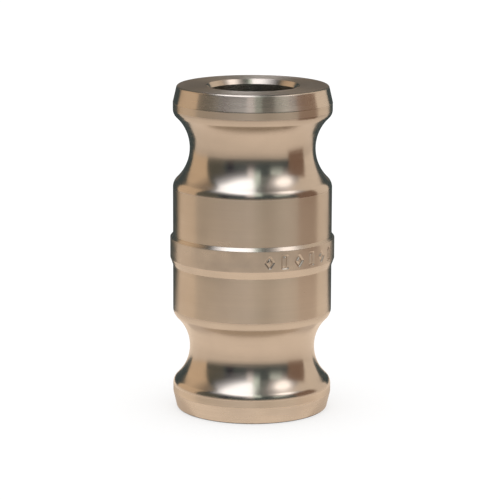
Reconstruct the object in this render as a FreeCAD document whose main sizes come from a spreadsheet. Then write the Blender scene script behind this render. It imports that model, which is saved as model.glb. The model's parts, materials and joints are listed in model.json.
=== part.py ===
"""Cam and groove spool adapter: two male cam ends turned on one piece of stainless steel bar.

Millimetres. The origin is the middle of the adapter, and +Z runs along the bore towards one of
the two identical ends. Every size is a cell of the sheet, or is worked out from those cells.
"""

import FreeCAD, Part
import Sketcher
import math
import os

os.makedirs("parts", exist_ok=True)

ADAPTER = "spool_adapter"

# The driving dimensions: alias, value, what it measures.
SIZES = [
    ("overall_length", 75.4, "end face to end face"),
    ("body_diameter", 36.6, "outside of both male ends, at the body and at the lip"),
    ("collar_diameter", 37.9, "stop collar between the two ends"),
    ("collar_upper_edge", 3.35, "middle of the adapter to the collar's upper edge"),
    ("collar_lower_edge", 3.9, "middle of the adapter to the collar's lower edge"),
    ("collar_upper_chamfer", 0.8, "axial length of the collar's upper chamfer"),
    ("collar_lower_chamfer", 1.75, "axial length of the collar's lower chamfer"),
    ("groove_to_face", 14.45, "middle of the cam groove to its end face"),
    ("groove_floor_diameter", 28.88, "bottom of the cam groove"),
    ("groove_radius", 9.9, "radius of the cam groove's section"),
    ("body_corner_radius", 2.7, "between the cam groove and the body"),
    ("lip_corner_radius", 2.3, "between the cam groove and the lip"),
    ("lead_in_length", 3.85, "axial length of the tapered lead-in"),
    ("face_diameter", 34.8, "end face, at the small end of the lead-in"),
    ("face_edge_radius", 0.6, "between the lead-in and the end face"),
    ("bore_diameter", 20.3, "flow bore"),
    ("mouth_diameter", 21.7, "countersink at each end of the bore"),
    ("mouth_angle", 60.0, "included angle of that countersink, in degrees"),
    ("glyph_height", 3.1, "stamped mark on the collar"),
    ("glyph_width", 2.3, "stamped mark on the collar"),
    ("glyph_stroke", 0.45, "width of the stamped line"),
    ("glyph_depth", 0.25, "depth of the stamped line"),
    ("glyph_first_angle", 12.0, "from the front (-Y) towards +X, to the first mark, in degrees"),
    ("glyph_pitch_angle", 11.0, "from one mark to the next, in degrees"),
]
DIAMOND_MARKS = 3
UPRIGHT_MARKS = 3

# How far a cutting outline runs past the metal that it removes.
OVERRUN = 1.0
# How closely an edge has to match the radius and height that it is looked up by.
EDGE_TOLERANCE = 0.02


class Length:
    """A size with its value now and the expression that binds it to the sheet."""

    def __init__(self, value, text):
        self.value = value
        self.text = text

    def combine(self, other, sign, value):
        text = other.text if isinstance(other, Length) else str(other)
        return Length(value, f"({self.text} {sign} {text})")

    def __add__(self, other):
        return self.combine(other, "+", self.value + number(other))

    def __sub__(self, other):
        return self.combine(other, "-", self.value - number(other))

    def __mul__(self, other):
        return self.combine(other, "*", self.value * number(other))

    def __truediv__(self, other):
        return self.combine(other, "/", self.value / number(other))

    def __neg__(self):
        return Length(-self.value, f"(-1 * {self.text})")


def number(size):
    return size.value if isinstance(size, Length) else float(size)


def tangent_of(angle):
    """The tangent of an angle that the sheet holds in degrees."""
    return Length(math.tan(math.radians(angle.value)), f"tan({angle.text} * 1 deg)")


def make_sheet(doc):
    """Writes the driving dimensions to the sheet and returns them by alias."""
    sheet = doc.addObject("Spreadsheet::Sheet", "sizes")
    found = {}
    for row, (alias, value, meaning) in enumerate(SIZES, start=1):
        sheet.set(f"A{row}", alias)
        sheet.set(f"B{row}", str(value))
        sheet.set(f"C{row}", meaning)
        sheet.setAlias(f"B{row}", alias)
        found[alias] = Length(value, f"sizes.{alias}")
    doc.recompute()
    return found


def plane_of(body, role):
    return next(feature for feature in body.Origin.OriginFeatures if feature.Role == role)


def new_sketch(body, name, role):
    sketch = body.newObject("Sketcher::SketchObject", name)
    sketch.AttachmentSupport = (plane_of(body, role), [""])
    sketch.MapMode = "FlatFace"
    return sketch


def bind(sketch, index, text):
    sketch.setExpression(f"Constraints[{index}]", text)


def place_point(sketch, geometry, end, x, y):
    """Holds a point of the sketch at x, y from its origin, whichever side of it that is."""
    for kind, size in (("DistanceX", x), ("DistanceY", y)):
        if abs(number(size)) < 1e-9:
            axis = -2 if kind == "DistanceX" else -1
            sketch.addConstraint(Sketcher.Constraint("PointOnObject", geometry, end, axis))
            continue
        ends = (-1, 1, geometry, end) if number(size) > 0 else (geometry, end, -1, 1)
        size = size if number(size) > 0 else -size
        index = sketch.addConstraint(Sketcher.Constraint(kind, *ends, size.value))
        bind(sketch, index, size.text)


def add_polygon(sketch, corners):
    """A closed outline through the corners, each held by the sheet's sizes."""
    points = [FreeCAD.Vector(number(x), number(y), 0) for x, y in corners]
    first = sketch.GeometryCount
    count = len(points)
    for i in range(count):
        sketch.addGeometry(Part.LineSegment(points[i], points[(i + 1) % count]), False)
    for i in range(count):
        following = first + (i + 1) % count
        sketch.addConstraint(Sketcher.Constraint("Coincident", first + i, 2, following, 1))
        place_point(sketch, first + i, 1, *corners[i])


def add_circle(sketch, x, y, radius):
    """A circle whose centre and radius are held by the sheet's sizes."""
    centre = FreeCAD.Vector(number(x), number(y), 0)
    circle = Part.Circle(centre, FreeCAD.Vector(0, 0, 1), radius.value)
    geometry = sketch.addGeometry(circle, False)
    index = sketch.addConstraint(Sketcher.Constraint("Radius", geometry, radius.value))
    bind(sketch, index, radius.text)
    if number(x) == 0 and number(y) == 0:
        sketch.addConstraint(Sketcher.Constraint("Coincident", geometry, 3, -1, 1))
    else:
        place_point(sketch, geometry, 3, x, y)


def volume_of(body):
    body.Document.recompute()
    return body.Shape.Volume if body.Tip else 0.0


def turned(body, kind, name, sketch):
    """A full turn of the sketch about the bore's axis: metal added by a Revolution, or cut by a Groove."""
    before = volume_of(body)
    feature = body.newObject(kind, name)
    feature.Profile = sketch
    feature.ReferenceAxis = (sketch, ["V_Axis"])
    feature.Angle = 360
    after = volume_of(body)
    grows = kind == "PartDesign::Revolution"
    if (after > before) != grows or abs(after - before) < 1e-3:
        raise RuntimeError(f"{name} changed the volume by {after - before:.3f} mm3")
    return feature


def make_bar(body, size):
    """The bar that both male ends are turned on."""
    sketch = new_sketch(body, "bar_section", "XY_Plane")
    add_circle(sketch, 0, 0, size["body_diameter"] / 2)
    bar = body.newObject("PartDesign::Pad", "bar")
    bar.Profile = sketch
    bar.SideType = "Symmetric"
    bar.setExpression("Length", size["overall_length"].text)
    body.Document.recompute()
    return bar


def make_collar(body, size):
    """The stop collar, with the chamfer on each of its edges."""
    inner = size["body_diameter"] / 2
    outer = size["collar_diameter"] / 2
    top, bottom = size["collar_upper_edge"], -size["collar_lower_edge"]
    sketch = new_sketch(body, "collar_outline", "XZ_Plane")
    add_polygon(
        sketch,
        [
            (inner - OVERRUN, bottom),
            (inner, bottom),
            (outer, bottom + size["collar_lower_chamfer"]),
            (outer, top - size["collar_upper_chamfer"]),
            (inner, top),
            (inner - OVERRUN, top),
        ],
    )
    return turned(body, "PartDesign::Revolution", "collar", sketch)


def cut_cam_groove(body, size):
    """The round groove that the cams of a coupler bear on."""
    height = size["overall_length"] / 2 - size["groove_to_face"]
    floor = size["groove_floor_diameter"] / 2
    sketch = new_sketch(body, "cam_groove_section", "XZ_Plane")
    add_circle(sketch, floor + size["groove_radius"], height, size["groove_radius"])
    return turned(body, "PartDesign::Groove", "cam_groove", sketch)


def cut_lead_in(body, size):
    """The taper that guides the end into a coupler's socket."""
    face = size["overall_length"] / 2
    outer = size["body_diameter"] / 2
    small = size["face_diameter"] / 2
    steepness = (outer - small) / size["lead_in_length"]
    sketch = new_sketch(body, "lead_in_section", "XZ_Plane")
    add_polygon(
        sketch,
        [
            (outer, face - size["lead_in_length"]),
            (outer + OVERRUN, face - size["lead_in_length"]),
            (outer + OVERRUN, face + OVERRUN),
            (small - steepness * OVERRUN, face + OVERRUN),
        ],
    )
    return turned(body, "PartDesign::Groove", "lead_in", sketch)


def cut_mouth(body, size):
    """The countersink at the bore's mouth."""
    face = size["overall_length"] / 2
    mouth = size["mouth_diameter"] / 2
    slope = tangent_of(size["mouth_angle"] / 2)
    sketch = new_sketch(body, "mouth_section", "XZ_Plane")
    add_polygon(
        sketch,
        [
            (0, face - mouth / slope),
            (mouth + slope * OVERRUN, face + OVERRUN),
            (0, face + OVERRUN),
        ],
    )
    return turned(body, "PartDesign::Groove", "mouth", sketch)


def mirror_end(body, features):
    """The other end is the same, upside down."""
    before = volume_of(body)
    mirrored = body.newObject("PartDesign::Mirrored", "opposite_end")
    mirrored.Originals = features
    mirrored.MirrorPlane = (plane_of(body, "XY_Plane"), [""])
    body.Tip = mirrored
    if volume_of(body) >= before:
        raise RuntimeError("the opposite end was not cut")
    return mirrored


def cut_bore(body, size):
    """The flow bore, straight through."""
    before = volume_of(body)
    sketch = new_sketch(body, "bore_section", "XY_Plane")
    add_circle(sketch, 0, 0, size["bore_diameter"] / 2)
    bore = body.newObject("PartDesign::Pocket", "flow_bore")
    bore.Profile = sketch
    bore.SideType = "Symmetric"
    bore.setExpression("Length", (size["overall_length"] + 2 * OVERRUN).text)
    if volume_of(body) >= before:
        raise RuntimeError("the flow bore was not cut")
    return bore


def circles_at(shape, radius, height):
    """The names of the circular edges of that radius at plus and minus that height."""
    names = []
    for index, edge in enumerate(shape.Edges, start=1):
        if not isinstance(edge.Curve, Part.Circle):
            continue
        if abs(edge.Curve.Radius - radius) > EDGE_TOLERANCE:
            continue
        if abs(abs(edge.Curve.Center.z) - height) < EDGE_TOLERANCE:
            names.append(f"Edge{index}")
    if len(names) != 2:
        raise RuntimeError(f"{len(names)} circles of radius {radius:.3f} at height {height:.3f}")
    return names


def round_edges(body, name, radius, circle_radius, circle_height):
    """Rounds the matching edge of both ends."""
    before = volume_of(body)
    base = body.Tip
    fillet = body.newObject("PartDesign::Fillet", name)
    fillet.Base = (base, circles_at(base.Shape, circle_radius, circle_height))
    fillet.setExpression("Radius", radius.text)
    if volume_of(body) >= before:
        raise RuntimeError(f"{name} removed no metal")
    return fillet


def round_corners(body, size):
    """The corners of the cam grooves and the outer edge of the end faces."""
    face = size["overall_length"].value / 2
    outer = size["body_diameter"].value / 2
    middle = face - size["groove_to_face"].value
    radius = size["groove_radius"].value
    overhang = size["groove_floor_diameter"].value / 2 + radius - outer
    half_width = math.sqrt(radius**2 - overhang**2)
    round_edges(body, "body_corner", size["body_corner_radius"], outer, middle - half_width)
    round_edges(body, "lip_corner", size["lip_corner_radius"], outer, middle + half_width)
    round_edges(body, "face_edge", size["face_edge_radius"], size["face_diameter"].value / 2, face)


def diamond_corners(size):
    """A rhombus as tall and as wide as the mark."""
    half_width, half_height = size["glyph_width"] / 2, size["glyph_height"] / 2
    return [(half_width, 0), (0, half_height), (-half_width, 0), (0, -half_height)]


def diamond_inner_corners(size):
    """The rhombus inside it, one stroke in along each side's normal."""
    half_width, half_height = size["glyph_width"] / 2, size["glyph_height"] / 2
    side = math.hypot(half_width.value, half_height.value)
    side_text = f"sqrt({half_width.text}^2 + {half_height.text}^2)"
    across = size["glyph_stroke"] * Length(side, side_text)
    inner_width = half_width - across / half_height
    inner_height = half_height - across / half_width
    return [(inner_width, 0), (0, inner_height), (-inner_width, 0), (0, -inner_height)]


def upright_corners(size, inset):
    """A narrow upright rectangle, 0 or 1 stroke in from the mark's outline."""
    half_width = size["glyph_width"] / 3 - size["glyph_stroke"] * inset
    half_height = size["glyph_height"] / 2 - size["glyph_stroke"] * inset
    return [
        (half_width, half_height),
        (-half_width, half_height),
        (-half_width, -half_height),
        (half_width, -half_height),
    ]


def stamp(body, size, name, outlines, first_angle, count):
    """A row of one plain mark, pressed into the collar at every second place of the pitch."""
    before = volume_of(body)
    floor = size["collar_diameter"] / 2 - size["glyph_depth"]
    sketch = new_sketch(body, f"{name}_outline", "XZ_Plane")
    turn = FreeCAD.Rotation(FreeCAD.Vector(0, 1, 0), first_angle.value)
    sketch.AttachmentOffset = FreeCAD.Placement(turn.multVec(FreeCAD.Vector(0, 0, floor.value)), turn)
    sketch.setExpression("AttachmentOffset.Rotation.Angle", f"{first_angle.text} * 1 deg")
    sketch.setExpression(
        "AttachmentOffset.Base.x", f"{floor.text} * 1 mm * sin({first_angle.text} * 1 deg)"
    )
    sketch.setExpression(
        "AttachmentOffset.Base.z", f"{floor.text} * 1 mm * cos({first_angle.text} * 1 deg)"
    )
    for corners in outlines:
        add_polygon(sketch, corners)
    body.Document.recompute()
    mark = body.newObject("PartDesign::Pocket", name)
    mark.Profile = sketch
    mark.Reversed = True
    mark.Length = OVERRUN
    one = before - volume_of(body)
    row = body.newObject("PartDesign::PolarPattern", f"{name}_row")
    row.Originals = [mark]
    row.Axis = (plane_of(body, "Z_Axis"), [""])
    row.Mode = "Spacing"
    row.setExpression("Offset", f"{(size['glyph_pitch_angle'] * 2).text} * 1 deg")
    row.Occurrences = count
    body.Tip = row
    removed = before - volume_of(body)
    if one <= 0 or abs(removed - one * count) > 0.01 * removed:
        raise RuntimeError(f"{name}: one mark took {one:.3f} mm3 and the row {removed:.3f} mm3")
    return row


def stamp_collar(body, size):
    """Diamonds and uprights in turn."""
    diamond = [diamond_corners(size), diamond_inner_corners(size)]
    upright = [upright_corners(size, 0), upright_corners(size, 1)]
    first = size["glyph_first_angle"]
    stamp(body, size, "diamond_mark", diamond, first, DIAMOND_MARKS)
    stamp(body, size, "upright_mark", upright, first + size["glyph_pitch_angle"], UPRIGHT_MARKS)


def make_adapter(doc, size):
    body = doc.addObject("PartDesign::Body", ADAPTER)
    body.Label = ADAPTER
    make_bar(body, size)
    make_collar(body, size)
    ends = [cut_cam_groove(body, size), cut_lead_in(body, size), cut_mouth(body, size)]
    mirror_end(body, ends)
    cut_bore(body, size)
    round_corners(body, size)
    stamp_collar(body, size)
    return body


def check(doc, subparts):
    """Stops before anything is written if a feature failed or a shape isn't one sound solid."""
    doc.recompute()
    failed = [o.Name for o in doc.Objects if "Invalid" in o.State or "Error" in o.State]
    if failed:
        raise RuntimeError(f"these objects failed: {failed}")
    for part in subparts:
        if part.Shape.isNull() or not part.Shape.isValid() or len(part.Shape.Solids) != 1:
            raise RuntimeError(f"{part.Label} is not one valid solid")


def main():
    doc = FreeCAD.newDocument("spool_adapter")
    size = make_sheet(doc)
    subparts = [make_adapter(doc, size)]
    check(doc, subparts)
    for part in subparts:
        part.Shape.exportStep(f"parts/{part.Label}.step")
        box = part.Shape.optimalBoundingBox(False)
        print(
            f"{part.Label}: {box.XLength:.2f} x {box.YLength:.2f} x {box.ZLength:.2f} mm, "
            f"{part.Shape.Volume:.0f} mm3, {len(part.Shape.Faces)} faces"
        )


main()
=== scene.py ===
"""The looks of a cam and groove spool adapter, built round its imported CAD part.

Metres, in the part's own frame: +Z along the bore, -Y at the front. The adapter is one piece of
turned stainless steel, so it is one mesh: an outline turned about the bore's axis, with plain
marks pressed into the collar and a finish for each kind of turned surface.
"""

import json
import math

import bpy
import numpy as np
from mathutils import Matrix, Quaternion, Vector


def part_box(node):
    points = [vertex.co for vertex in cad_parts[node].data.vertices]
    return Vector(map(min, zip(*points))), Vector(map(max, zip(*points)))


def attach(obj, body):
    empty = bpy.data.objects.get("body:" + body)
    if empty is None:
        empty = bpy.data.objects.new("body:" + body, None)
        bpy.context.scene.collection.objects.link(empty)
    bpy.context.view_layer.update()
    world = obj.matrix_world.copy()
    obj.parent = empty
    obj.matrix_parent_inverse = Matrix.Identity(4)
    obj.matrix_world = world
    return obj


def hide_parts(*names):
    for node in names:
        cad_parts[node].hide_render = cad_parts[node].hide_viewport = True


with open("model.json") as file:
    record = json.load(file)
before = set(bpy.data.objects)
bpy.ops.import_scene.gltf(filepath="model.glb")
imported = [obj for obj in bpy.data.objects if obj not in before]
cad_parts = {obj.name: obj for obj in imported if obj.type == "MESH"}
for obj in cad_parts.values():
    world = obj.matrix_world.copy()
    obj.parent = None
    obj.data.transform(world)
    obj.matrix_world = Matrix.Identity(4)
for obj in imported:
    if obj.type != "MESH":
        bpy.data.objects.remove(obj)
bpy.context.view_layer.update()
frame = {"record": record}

MM = 0.001
NODE = "spool_adapter"

# ---- Sizes: read from the frame where it states them, in metres ----

mounts = {mount["name"]: mount for mount in frame["record"]["mounts"]}
low_corner, high_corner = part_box(NODE)

HALF_LENGTH = high_corner.z
COLLAR_R = min(high_corner.x, -low_corner.x, high_corner.y, -low_corner.y)
BODY_R = mounts["upper_cam_end"]["dims"]["r_mm"] * MM
BORE_R = mounts["flow_bore"]["dims"]["r_mm"] * MM
GROOVE_HEIGHT = mounts["upper_cam_groove"]["pos_m"][2]

GROOVE_FLOOR_R = 14.44 * MM
GROOVE_SECTION_R = 9.9 * MM
BODY_CORNER = 2.7 * MM
LIP_CORNER = 2.3 * MM
LEAD_IN_LENGTH = 3.85 * MM
FACE_R = 17.4 * MM
FACE_EDGE = 0.6 * MM
MOUTH_R = 10.85 * MM
MOUTH_HALF_ANGLE = math.radians(30)
COLLAR_UPPER_EDGE = 3.35 * MM
COLLAR_UPPER_CHAMFER = 0.8 * MM
COLLAR_LOWER_EDGE = 3.9 * MM
COLLAR_LOWER_CHAMFER = 1.75 * MM

# A turning tool leaves no edge quite sharp.
EDGE_BREAK = 0.14 * MM
SOFT_BREAK = 0.5 * MM
LIP_BREAK = 0.6 * MM

# The marks on the collar.
MARK_HEIGHT = 3.1 * MM
MARK_WIDTH = 2.3 * MM
MARK_STROKE = 0.45 * MM
MARK_DEPTH = 0.25 * MM
MARK_WALL = 0.1 * MM
MARK_BURR = 0.025 * MM
MARK_FIRST = math.radians(12)
MARK_PITCH = math.radians(11)
MARK_COUNT = 6

# How finely the mesh follows the shape.
COARSE_COLUMN = math.radians(2.4)
FINE_COLUMN = math.radians(0.4)
FINE_ROW = 0.12 * MM
LONG_ROW = 1.6 * MM
HOLD = 0.06 * MM
ARC_STEP = math.radians(4)


# ---- The outline ----

def arc(centre, radius, start, end):
    """Points along an arc in the plane of radius and height, from one angle to the other."""
    count = max(3, math.ceil(abs(end - start) / ARC_STEP))
    angles = np.linspace(start, end, count + 1)
    return [(centre[0] + radius * math.cos(a), centre[1] + radius * math.sin(a)) for a in angles]


def rounded_corner(before, corner, after, radius):
    """The arc that rounds the corner of two straight runs."""
    corner_point = Vector(corner)
    back = (Vector(before) - corner_point).normalized()
    ahead = (Vector(after) - corner_point).normalized()
    half_angle = back.angle(ahead) / 2
    middle = (back + ahead).normalized()
    centre = corner_point + middle * radius / math.sin(half_angle)
    touch = radius / math.tan(half_angle)
    first = corner_point + back * touch - centre
    last = corner_point + ahead * touch - centre
    start = math.atan2(first.y, first.x)
    turn = (math.atan2(last.y, last.x) - start + math.pi) % math.tau - math.pi
    return arc(centre, radius, start, start + turn)


def cam_groove():
    """The rounded corner at the body, the round groove and the rounded corner at the lip."""
    groove_centre = (GROOVE_FLOOR_R + GROOVE_SECTION_R, GROOVE_HEIGHT)

    def corner(radius):
        across = groove_centre[0] - (BODY_R - radius)
        along = math.sqrt((GROOVE_SECTION_R + radius) ** 2 - across**2)
        return along, math.atan2(along, across)

    body_along, body_angle = corner(BODY_CORNER)
    lip_along, lip_angle = corner(LIP_CORNER)
    body_centre = (BODY_R - BODY_CORNER, GROOVE_HEIGHT - body_along)
    lip_centre = (BODY_R - LIP_CORNER, GROOVE_HEIGHT + lip_along)
    points = arc(body_centre, BODY_CORNER, 0, body_angle)
    points += arc(groove_centre, GROOVE_SECTION_R, math.pi + body_angle, math.pi - lip_angle)[1:-1]
    points += arc(lip_centre, LIP_CORNER, -lip_angle, 0)
    return points


def straight(start, end, row):
    """Rows along a straight run, with one close to each end so that its shading stays flat."""
    start, end = np.array(start), np.array(end)
    length = np.linalg.norm(end - start)
    count = max(1, math.ceil((length - 2 * HOLD) / row))
    shares = np.linspace(HOLD / length, 1 - HOLD / length, count + 1)
    return [tuple(start + (end - start) * share) for share in shares]


def half_outline(edge, chamfer, chamfer_break):
    """From the middle of the collar out to the end face and back along the bore: zone, points."""
    collar_end = (COLLAR_R, edge - chamfer)
    chamfer_end = (BODY_R, edge)
    groove = cam_groove()
    taper_start = (BODY_R, HALF_LENGTH - LEAD_IN_LENGTH)
    taper_end = (FACE_R, HALF_LENGTH)
    mouth_top = (MOUTH_R, HALF_LENGTH)
    mouth_low = (BORE_R, HALF_LENGTH - (MOUTH_R - BORE_R) / math.tan(MOUTH_HALF_ANGLE))

    collar_break = rounded_corner((COLLAR_R, 0), collar_end, chamfer_end, chamfer_break)
    chamfer_root = rounded_corner(collar_end, chamfer_end, groove[0], EDGE_BREAK)
    lip_break = rounded_corner(groove[-1], taper_start, taper_end, LIP_BREAK)
    face_edge = rounded_corner(taper_start, taper_end, mouth_top, FACE_EDGE)
    mouth_break = rounded_corner(taper_end, mouth_top, mouth_low, EDGE_BREAK)
    bore_break = rounded_corner(mouth_top, mouth_low, (BORE_R, 0), EDGE_BREAK)

    return [
        ("collar", straight((COLLAR_R, 0), collar_break[0], FINE_ROW)),
        ("collar", collar_break),
        ("chamfer", straight(collar_break[-1], chamfer_root[0], LONG_ROW)),
        ("body", chamfer_root),
        ("body", straight(chamfer_root[-1], groove[0], LONG_ROW)),
        ("groove", groove),
        ("body", straight(groove[-1], lip_break[0], LONG_ROW)),
        ("edge", lip_break),
        ("lead_in", straight(lip_break[-1], face_edge[0], LONG_ROW)),
        ("edge", face_edge),
        ("face", straight(face_edge[-1], mouth_break[0], LONG_ROW)),
        ("face", mouth_break),
        ("mouth", straight(mouth_break[-1], bore_break[0], LONG_ROW)),
        ("bore", bore_break),
        ("bore", straight(bore_break[-1], (BORE_R, 0), 4 * LONG_ROW)),
    ]


def whole_outline():
    """Both halves as one closed loop: arrays of radius and height, and the zone of each row."""
    upper = half_outline(COLLAR_UPPER_EDGE, COLLAR_UPPER_CHAMFER, EDGE_BREAK)
    lower = half_outline(COLLAR_LOWER_EDGE, COLLAR_LOWER_CHAMFER, SOFT_BREAK)
    rows = []
    for zone, points in upper:
        rows += [(r, z, zone) for r, z in points]
    for zone, points in reversed(lower):
        rows += [(r, -z, zone) for r, z in reversed(points)]
    radius = np.array([row[0] for row in rows])
    height = np.array([row[1] for row in rows])
    return radius, height, [row[2] for row in rows]


# ---- The marks on the collar ----

def distance_to_outline(across, up, corners):
    """How far each point is from a closed outline of straight lines."""
    nearest = np.full(across.shape, 1.0)
    for i, (x0, y0) in enumerate(corners):
        x1, y1 = corners[(i + 1) % len(corners)]
        run = np.array([x1 - x0, y1 - y0])
        share = ((across - x0) * run[0] + (up - y0) * run[1]) / (run @ run)
        share = np.clip(share, 0, 1)
        away = np.hypot(across - x0 - share * run[0], up - y0 - share * run[1])
        nearest = np.minimum(nearest, away)
    return nearest


def diamond():
    """The middle of the stroke of a diamond mark."""
    half_width, half_height = MARK_WIDTH / 2, MARK_HEIGHT / 2
    side = math.hypot(half_width, half_height)
    in_x = half_width - MARK_STROKE / 2 * side / half_height
    in_y = half_height - MARK_STROKE / 2 * side / half_width
    return [(in_x, 0), (0, in_y), (-in_x, 0), (0, -in_y)]


def upright():
    """The middle of the stroke of an upright rectangular mark."""
    x = MARK_WIDTH / 3 - MARK_STROKE / 2
    y = MARK_HEIGHT / 2 - MARK_STROKE / 2
    return [(x, y), (-x, y), (-x, -y), (x, -y)]


def smooth_step(value):
    """A soft rise from 0 to 1."""
    value = np.clip(value, 0, 1)
    return value * value * (3 - 2 * value)


def press_marks(turn, height):
    """How far each point of the collar moves out: into the stamped lines, and up at their burrs."""
    nearest = np.full(turn.shape, 1.0)
    for i in range(MARK_COUNT):
        across = (turn - MARK_FIRST - i * MARK_PITCH) * COLLAR_R
        corners = upright() if i % 2 else diamond()
        nearest = np.minimum(nearest, distance_to_outline(across, height, corners))
    floor_edge = MARK_STROKE / 2 - MARK_WALL
    sunk = 1 - smooth_step((nearest - floor_edge) / (2 * MARK_WALL))
    burr = np.exp(-(((nearest - MARK_STROKE / 2 - 1.5 * MARK_WALL) / MARK_WALL) ** 2))
    return MARK_BURR * burr * (1 - sunk) - MARK_DEPTH * sunk


# ---- The mesh ----

def column_turns():
    """The angles of the mesh's columns, closer together where the marks are."""
    fine_start = MARK_FIRST - MARK_PITCH / 2
    fine_end = MARK_FIRST + MARK_PITCH * (MARK_COUNT - 0.5)
    fine = np.linspace(fine_start, fine_end, math.ceil((fine_end - fine_start) / FINE_COLUMN) + 1)
    rest = math.tau - (fine_end - fine_start)
    coarse = np.linspace(fine_end, fine_start + math.tau, math.ceil(rest / COARSE_COLUMN) + 1)
    return np.concatenate([fine, coarse[1:-1]])


def turned_mesh(name, materials):
    """The outline turned about Z, as one closed mesh. Its attribute run is the way along it."""
    radius, height, zones = whole_outline()
    turns = column_turns()
    rows, columns = len(radius), len(turns)
    run = np.concatenate([[0], np.cumsum(np.hypot(np.diff(radius), np.diff(height)))])

    turn_grid, radius_grid = np.meshgrid(turns, radius)
    height_grid = np.repeat(height[:, None], columns, axis=1)
    on_collar = np.array([zone == "collar" for zone in zones])[:, None]
    radius_grid = radius_grid + np.where(on_collar, press_marks(turn_grid, height_grid), 0)

    points = np.stack(
        [radius_grid * np.sin(turn_grid), -radius_grid * np.cos(turn_grid), height_grid], axis=-1
    ).reshape(-1, 3)
    row, column = np.meshgrid(np.arange(rows), np.arange(columns), indexing="ij")
    next_row, next_column = (row + 1) % rows, (column + 1) % columns
    corners = [(row, column), (row, next_column), (next_row, next_column), (next_row, column)]
    faces = np.stack([r * columns + c for r, c in corners], axis=-1).reshape(-1, 4)

    mesh = bpy.data.meshes.new(name)
    mesh.from_pydata(points.tolist(), [], faces.tolist())
    names = list(materials)
    for material in materials.values():
        mesh.materials.append(material)
    face_zones = np.repeat([names.index(zone) for zone in zones], columns)
    mesh.polygons.foreach_set("material_index", face_zones.astype(np.int32))
    along = mesh.attributes.new("run", "FLOAT", "POINT")
    along.data.foreach_set("value", np.repeat(run, columns).astype(np.float32))
    mesh.shade_smooth()
    mesh.update()
    piece = bpy.data.objects.new(name, mesh)
    bpy.context.scene.collection.objects.link(piece)
    return piece


# ---- Materials ----

class Nodes:
    """A short way to write a node tree: each call makes a node and links what it is given."""

    def __init__(self, tree):
        tree.nodes.clear()
        self.tree = tree

    def add(self, kind, settings=None, **inputs):
        node = self.tree.nodes.new(kind)
        for key, value in (settings or {}).items():
            setattr(node, key, value)
        for key, value in inputs.items():
            self.put(node.inputs[key.replace("_", " ")], value)
        return node

    def put(self, socket, value):
        if isinstance(value, bpy.types.NodeSocket):
            self.tree.links.new(value, socket)
        else:
            socket.default_value = value

    def math(self, operation, *values):
        node = self.tree.nodes.new("ShaderNodeMath")
        node.operation = operation
        for socket, value in zip(node.inputs, values):
            self.put(socket, value)
        return node.outputs[0]

    def vector(self, operation, *values):
        node = self.tree.nodes.new("ShaderNodeVectorMath")
        node.operation = operation
        for socket, value in zip(node.inputs, values):
            self.put(socket, value)
        return node.outputs["Value" if operation == "LENGTH" else "Vector"]

    def mix(self, share, first, second):
        """A mix of two colours."""
        node = self.tree.nodes.new("ShaderNodeMix")
        node.data_type = "RGBA"
        self.put(node.inputs[0], share)
        self.put(node.inputs[6], first)
        self.put(node.inputs[7], second)
        return node.outputs[2]

    def fit(self, value, low, high, to_low, to_high):
        """The value's range moved to another one, and held inside it."""
        node = self.tree.nodes.new("ShaderNodeMapRange")
        for socket, number in zip(node.inputs, (value, low, high, to_low, to_high)):
            self.put(socket, number)
        return node.outputs[0]


def rgba(colour, share=1.0):
    """A share of a colour, with the fourth number that a socket takes."""
    return (colour[0] * share, colour[1] * share, colour[2] * share, 1)


# The steel colours are partly painted reflection: their warm tint carries some of the tan of the warm
# surroundings that the steel mirrors, on top of the steel's own colour.
STEEL = (0.62, 0.565, 0.50)
BODY_STEEL = (0.655, 0.59, 0.51)
LEAD_IN_STEEL = (0.67, 0.61, 0.54)
# The bore's steel colour is painted shade: it is the same steel, made darker and greyer inside the
# hollow bore.
BORE_STEEL_WITH_PAINTED_SHADE = (0.38, 0.37, 0.33)


def turned_steel(name, colour, roughness, anisotropy, line_pitch, line_depth, blotch):
    """Steel as a turning tool leaves it: fine lines round the axis, and a little uneven polish."""
    material = bpy.data.materials.new(name)
    material.use_nodes = True
    n = Nodes(material.node_tree)
    place = n.add("ShaderNodeTexCoord").outputs["Object"]
    split = n.add("ShaderNodeSeparateXYZ", Vector=place)
    run = n.add("ShaderNodeAttribute", {"attribute_name": "run"}).outputs["Fac"]

    def around(pitch, drift):
        """A place that changes quickly along the outline and slowly round the axis."""
        return n.add(
            "ShaderNodeCombineXYZ",
            X=n.math("MULTIPLY", split.outputs["X"], drift),
            Y=n.math("MULTIPLY", split.outputs["Y"], drift),
            Z=n.math("DIVIDE", run, pitch),
        ).outputs[0]

    fine = n.add("ShaderNodeTexNoise", Vector=around(line_pitch, 18), Scale=1, Detail=3)
    bands = n.add("ShaderNodeTexNoise", Vector=around(line_pitch * 7, 40), Scale=1, Detail=2)
    cloud = n.add("ShaderNodeTexNoise", Vector=place, Scale=blotch, Detail=4)

    light = rgba(colour)
    dull = rgba(colour, 0.86)
    worn = n.fit(cloud.outputs[0], 0.35, 0.7, 0, 1)
    tone = n.mix(worn, light, dull)
    lined = n.mix(n.fit(fine.outputs[0], 0.3, 0.7, 0, 0.5), tone, rgba(colour, 0.9))
    rough = n.math(
        "ADD",
        n.fit(bands.outputs[0], 0.3, 0.7, roughness * 0.85, roughness * 1.15),
        n.math("MULTIPLY", worn, roughness * 0.15),
    )
    bump = n.add(
        "ShaderNodeBump", Strength=0.35, Distance=line_depth, Height=fine.outputs[0]
    )
    tangent = n.add("ShaderNodeTangent", {"direction_type": "RADIAL", "axis": "Z"})
    shader = n.add(
        "ShaderNodeBsdfPrincipled",
        Base_Color=lined,
        Metallic=1.0,
        Roughness=rough,
        Anisotropic=anisotropy,
        Anisotropic_Rotation=0.25,
        Normal=bump.outputs[0],
        Tangent=tangent.outputs[0],
    )
    n.add("ShaderNodeOutputMaterial", Surface=shader.outputs[0])
    return material


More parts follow.
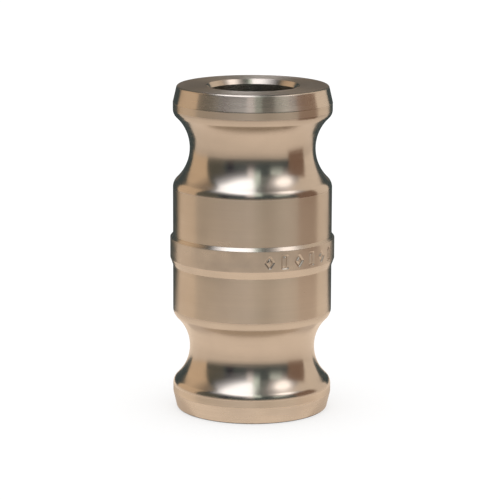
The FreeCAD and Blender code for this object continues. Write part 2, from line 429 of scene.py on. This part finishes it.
# Zone: name, colour, roughness, anisotropy, pitch and depth of the turning lines in mm, and how
# many uneven patches lie in a metre.
FINISHES = {
    "body": ("fine_turned_body", BODY_STEEL, 0.31, 0.9, 0.45, 0.001, 60),
    "lead_in": ("turned_lead_in", LEAD_IN_STEEL, 0.26, 1.0, 0.25, 0.001, 80),
    "edge": ("broken_edge", STEEL, 0.26, 0.5, 0.15, 0.001, 80),
    "groove": ("polished_cam_groove", STEEL, 0.2, 0.6, 0.15, 0.001, 70),
    "collar": ("satin_collar", STEEL, 0.30, 0.6, 0.2, 0.003, 300),
    "chamfer": ("fine_chamfer", STEEL, 0.23, 0.6, 0.15, 0.001, 90),
    "face": ("faced_end", STEEL, 0.36, 0.8, 0.18, 0.003, 90),
    "mouth": ("bore_mouth", STEEL, 0.22, 0.7, 0.2, 0.001, 90),
    # The bore's finish carries painted shade in its darker colour.
    "bore": ("turned_bore_with_painted_shade", BORE_STEEL_WITH_PAINTED_SHADE, 0.24, 0.7, 0.3, 0.005, 90),
}


def make_finishes():
    """One finish for each zone of the outline."""
    return {
        zone: turned_steel(name, colour, roughness, anisotropy, pitch * MM, depth * MM, blotch)
        for zone, (name, colour, roughness, anisotropy, pitch, depth, blotch) in FINISHES.items()
    }


# ---- The studio ----

FLOOR_Z = low_corner.z
ROOM_RADIUS = 0.7
SOFTBOX_Z = 0.6
CARD_GAP = 0.05 * MM
CARD_STEP = 5
RIM_POINTS = 48
FLOOR_REACH = 30

# Brightness of the room's cards, of the table and of the two softboxes.
ROOM_STRENGTH = 1.29
TABLE_STRENGTH = 1.1 * ROOM_STRENGTH
SOFTBOX_STRENGTH = 2.4


def glow(name, colour, foot=None, heights=(0, 0.1)):
    """An even brightness, or one that changes with height from the colour of its foot."""
    material = bpy.data.materials.new(name)
    material.use_nodes = True
    n = Nodes(material.node_tree)
    shade = rgba(colour)
    if foot:
        place = n.add("ShaderNodeTexCoord").outputs["Object"]
        split = n.add("ShaderNodeSeparateXYZ", Vector=place)
        shade = n.mix(n.fit(split.outputs["Z"], *heights, 0, 1), rgba(foot), shade)
    shader = n.add("ShaderNodeEmission", Color=shade, Strength=ROOM_STRENGTH)
    n.add("ShaderNodeOutputMaterial", Surface=shader.outputs[0])
    return material


def soft_glow(name, colour, strength, centre, radii, falloff):
    """A glow that fades away from its centre. The falloff is stops: distance in radii, and share."""
    material = bpy.data.materials.new(name)
    material.use_nodes = True
    n = Nodes(material.node_tree)
    place = n.add("ShaderNodeTexCoord").outputs["Object"]
    away = n.vector("LENGTH", n.vector("DIVIDE", n.vector("SUBTRACT", place, centre), radii))
    reach = falloff[-1][0]
    ramp = n.add("ShaderNodeValToRGB", Fac=n.math("DIVIDE", away, reach))
    stops = ramp.color_ramp.elements
    for _ in falloff[2:]:
        stops.new(0.5)
    for stop, (distance, share) in zip(stops, falloff):
        stop.position = distance / reach
        stop.color = rgba(colour, share)
    shader = n.add("ShaderNodeEmission", Color=ramp.outputs[0], Strength=strength)
    n.add("ShaderNodeOutputMaterial", Surface=shader.outputs[0])
    return material


def set_piece(name, points, faces, material):
    """A card of the studio that only the metal's reflections see."""
    mesh = bpy.data.meshes.new(name)
    mesh.from_pydata(points, [], faces)
    mesh.materials.append(material)
    card = bpy.data.objects.new(name, mesh)
    bpy.context.scene.collection.objects.link(card)
    card.visible_camera = False
    card.visible_diffuse = False
    card.visible_shadow = False


def towards(azimuth, elevation):
    """The place on the room's dome in a direction, in degrees: azimuth 0 is the front, 90 is +X."""
    azimuth, elevation = math.radians(azimuth), math.radians(elevation)
    flat = ROOM_RADIUS * math.cos(elevation)
    return (flat * math.sin(azimuth), -flat * math.cos(azimuth), ROOM_RADIUS * math.sin(elevation))


def dome_card(name, azimuths, elevations, material):
    """A patch of the room's dome, between two azimuths and two elevations in degrees."""
    across = max(2, math.ceil((azimuths[1] - azimuths[0]) / CARD_STEP)) + 1
    up = max(2, math.ceil((elevations[1] - elevations[0]) / CARD_STEP)) + 1
    points = [
        towards(azimuth, elevation)
        for elevation in np.linspace(*elevations, up)
        for azimuth in np.linspace(*azimuths, across)
    ]
    faces = [
        (j * across + i, j * across + i + 1, (j + 1) * across + i + 1, (j + 1) * across + i)
        for j in range(up - 1)
        for i in range(across - 1)
    ]
    set_piece(name, points, faces, material)


def flat_card(name, corners, material):
    """A flat card through its corners."""
    set_piece(name, corners, [tuple(range(len(corners)))], material)


def round_card(name, centre, radius, material, flat=False):
    """A round card that faces the middle of the adapter, or one that lies flat."""
    centre = Vector(centre)
    turn = Quaternion() if flat else centre.to_track_quat("Z", "Y")
    rim = [math.tau * i / RIM_POINTS for i in range(RIM_POINTS)]
    corners = [centre + turn @ Vector((radius * math.cos(a), radius * math.sin(a), 0)) for a in rim]
    flat_card(name, [tuple(corner) for corner in corners], material)


def make_floor():
    """The pale floor that the camera sees. The steel mirrors the table below it instead."""
    material = bpy.data.materials.new("pale_floor")
    material.use_nodes = True
    n = Nodes(material.node_tree)
    lit = n.add("ShaderNodeEmission", Color=(1, 1, 1, 1), Strength=0.58)
    shaded = n.add("ShaderNodeBsdfDiffuse", Color=(0.46, 0.46, 0.46, 1))
    both = n.add("ShaderNodeAddShader")
    n.put(both.inputs[0], lit.outputs[0])
    n.put(both.inputs[1], shaded.outputs[0])
    n.add("ShaderNodeOutputMaterial", Surface=both.outputs[0])
    mesh = bpy.data.meshes.new("floor")
    far = FLOOR_REACH
    corners = [(-far, -far), (far, -far), (far, far), (-far, far)]
    mesh.from_pydata([(x, y, FLOOR_Z - CARD_GAP) for x, y in corners], [], [(0, 1, 2, 3)])
    mesh.materials.append(material)
    floor = bpy.data.objects.new("floor", mesh)
    bpy.context.scene.collection.objects.link(floor)
    floor.visible_glossy = False


def make_world():
    """Pale all round for the camera and for the floor's light, and a dim room in reflections."""
    world = bpy.data.worlds.new("studio")
    bpy.context.scene.world = world
    world.use_nodes = True
    n = Nodes(world.node_tree)
    path = n.add("ShaderNodeLightPath")
    room = n.add("ShaderNodeBackground", Color=(0.052, 0.066, 0.066, 1), Strength=ROOM_STRENGTH)
    pale = n.add("ShaderNodeBackground", Color=(1, 1, 1, 1), Strength=1.06)
    choice = n.add("ShaderNodeMixShader")
    n.put(choice.inputs[0], path.outputs["Is Glossy Ray"])
    n.put(choice.inputs[1], pale.outputs[0])
    n.put(choice.inputs[2], room.outputs[0])
    n.add("ShaderNodeOutputWorld", Surface=choice.outputs[0])


def make_softboxes():
    """Two softboxes over the camera: a wide one at the left, and a round warm one at the right."""
    falloff = [(0.8, 1), (1, 0.455), (1.35, 0.19), (1.75, 0.09), (2.3, 0.03)]
    centre = (0, -0.1, SOFTBOX_Z)
    cool = soft_glow("softbox", (0.90, 0.90, 0.95), SOFTBOX_STRENGTH, centre, (0.41, 0.55, 1), falloff)
    corners = [(0.02, 0.3), (-0.22, 0.3), (-0.3, 0.05), (-0.36, -0.02)]
    corners += [(-0.46, -0.08), (-0.9, -0.2), (-0.9, -1.2), (0.02, -1.2)]
    flat_card("softbox_left", [(x, y, SOFTBOX_Z) for x, y in corners], cool)

    falloff = [(0.11, 1), (0.16, 0.455), (0.21, 0.3), (0.27, 0.18), (0.34, 0.1), (0.42, 0.03)]
    centre = towards(66, 48.5)
    warm = soft_glow("warm_softbox", (0.95, 0.88, 0.85), SOFTBOX_STRENGTH, centre, (1, 1, 1), falloff)
    round_card("softbox_right", centre, falloff[-1][0], warm)


def make_room():
    """The dim room in front of the adapter, and the walls at its sides and back."""
    haze = glow("hazy_gap", (1.0, 0.93, 0.92), (0.07, 0.06, 0.06), (0.17, 0.43))
    glimmer = glow("glimmer", (0.68, 0.78, 0.70), (0.04, 0.06, 0.065), (0.26, 0.44))
    glimmer_side = glow("glimmer_side", (0.60, 0.66, 0.60), (0.07, 0.08, 0.075), (0.17, 0.36))
    wall_left = glow("tan_wall_left", (0.26, 0.195, 0.14), (0.62, 0.45, 0.30), (0.38, 0.52))
    dome_card("hazy_gap_middle", (-9, 3), (8, 46), haze)
    dome_card("glimmer_middle", (3, 14), (16, 74), glimmer)
    dome_card("dim_gap_middle", (14, 34), (37, 76), glow("dim_gap", (0.16, 0.17, 0.16)))
    dome_card("glimmer_right", (33, 56), (12, 34), glimmer_side)
    dome_card("dark_panel_left", (-46, -34), (2, 27), glow("dark_panel", (0.016, 0.016, 0.026)))
    dome_card("olive_wall_left", (-86, -52), (-2, 36), glow("olive_wall", (0.095, 0.09, 0.072)))
    dome_card("tan_wall_left", (-135, -88), (-8, 57), wall_left)
    dome_card("tan_wall_right", (93, 141), (-8, 62), glow("tan_wall_right", (0.68, 0.56, 0.45)))
    dome_card("dim_wall_back", (160, 200), (2, 50), glow("dim_wall_back", (0.15, 0.13, 0.11)))

    foot = [(0.174, -0.077, FLOOR_Z), (0.185, 0.043, FLOOR_Z)]
    top = [(0.419, 0.097, 0.258), (0.393, -0.175, 0.258)]
    flat_card("brown_panel_right", foot + top, glow("brown_panel", (0.20, 0.12, 0.082)))


def make_table():
    """The tan table that the steel mirrors, cut out at the back, with shade by and under the foot."""
    falloff = [(0.02, 0.88), (0.03, 0.9), (0.04, 0.88), (0.06, 0.83), (0.085, 0.79)]
    falloff += [(0.17, 0.75), (0.23, 0.66), (0.65, 0.57)]
    foot = (0, 0, FLOOR_Z)
    tan = soft_glow("tan_table", (0.81, 0.66, 0.53), TABLE_STRENGTH, foot, (1, 1, 1), falloff)
    corners = [(-0.8, 0.25), (-0.8, -0.65), (0.8, -0.65), (0.8, 0.25)]
    corners += [(0.2, 0.25), (0.09, 0.083), (-0.12, 0.083), (-0.298, 0.25)]
    flat_card("table", [(x, y, FLOOR_Z - 4 * CARD_GAP) for x, y in corners], tan)

    behind = glow("shade_behind_the_adapter", (0.56, 0.45, 0.36))
    under = glow("shade_under_the_adapter", (0.02, 0.02, 0.02))
    round_card("shade_behind", (0, 14 * MM, FLOOR_Z - 3 * CARD_GAP), 29 * MM, behind, flat=True)
    round_card("shade_under", (0, 0, FLOOR_Z - 2 * CARD_GAP), FACE_R, under, flat=True)


# ---- The camera ----

CAMERA_ELEVATION = math.radians(11.4)
CAMERA_DISTANCE = 0.6
CAMERA_ROLL = math.radians(0.21)


def make_camera():
    """A long lens, a little above the adapter."""
    data = bpy.data.cameras.new("camera")
    data.sensor_width = 36
    data.lens = 187
    data.shift_x = -0.0046
    data.shift_y = -0.0065
    camera = bpy.data.objects.new("camera", data)
    bpy.context.scene.collection.objects.link(camera)
    back = Vector((0, -math.cos(CAMERA_ELEVATION), math.sin(CAMERA_ELEVATION)))
    camera.location = back * CAMERA_DISTANCE
    camera.rotation_mode = "QUATERNION"
    roll = Quaternion((0, 0, 1), CAMERA_ROLL)
    camera.rotation_quaternion = (-back).to_track_quat("-Z", "Y") @ roll
    bpy.context.scene.camera = camera


adapter = turned_mesh("turned_spool_adapter", make_finishes())
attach(adapter, "root")
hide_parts(NODE)

make_floor()
make_world()
make_softboxes()
make_room()
make_table()
make_camera()
bpy.context.scene.view_settings.view_transform = "Standard"
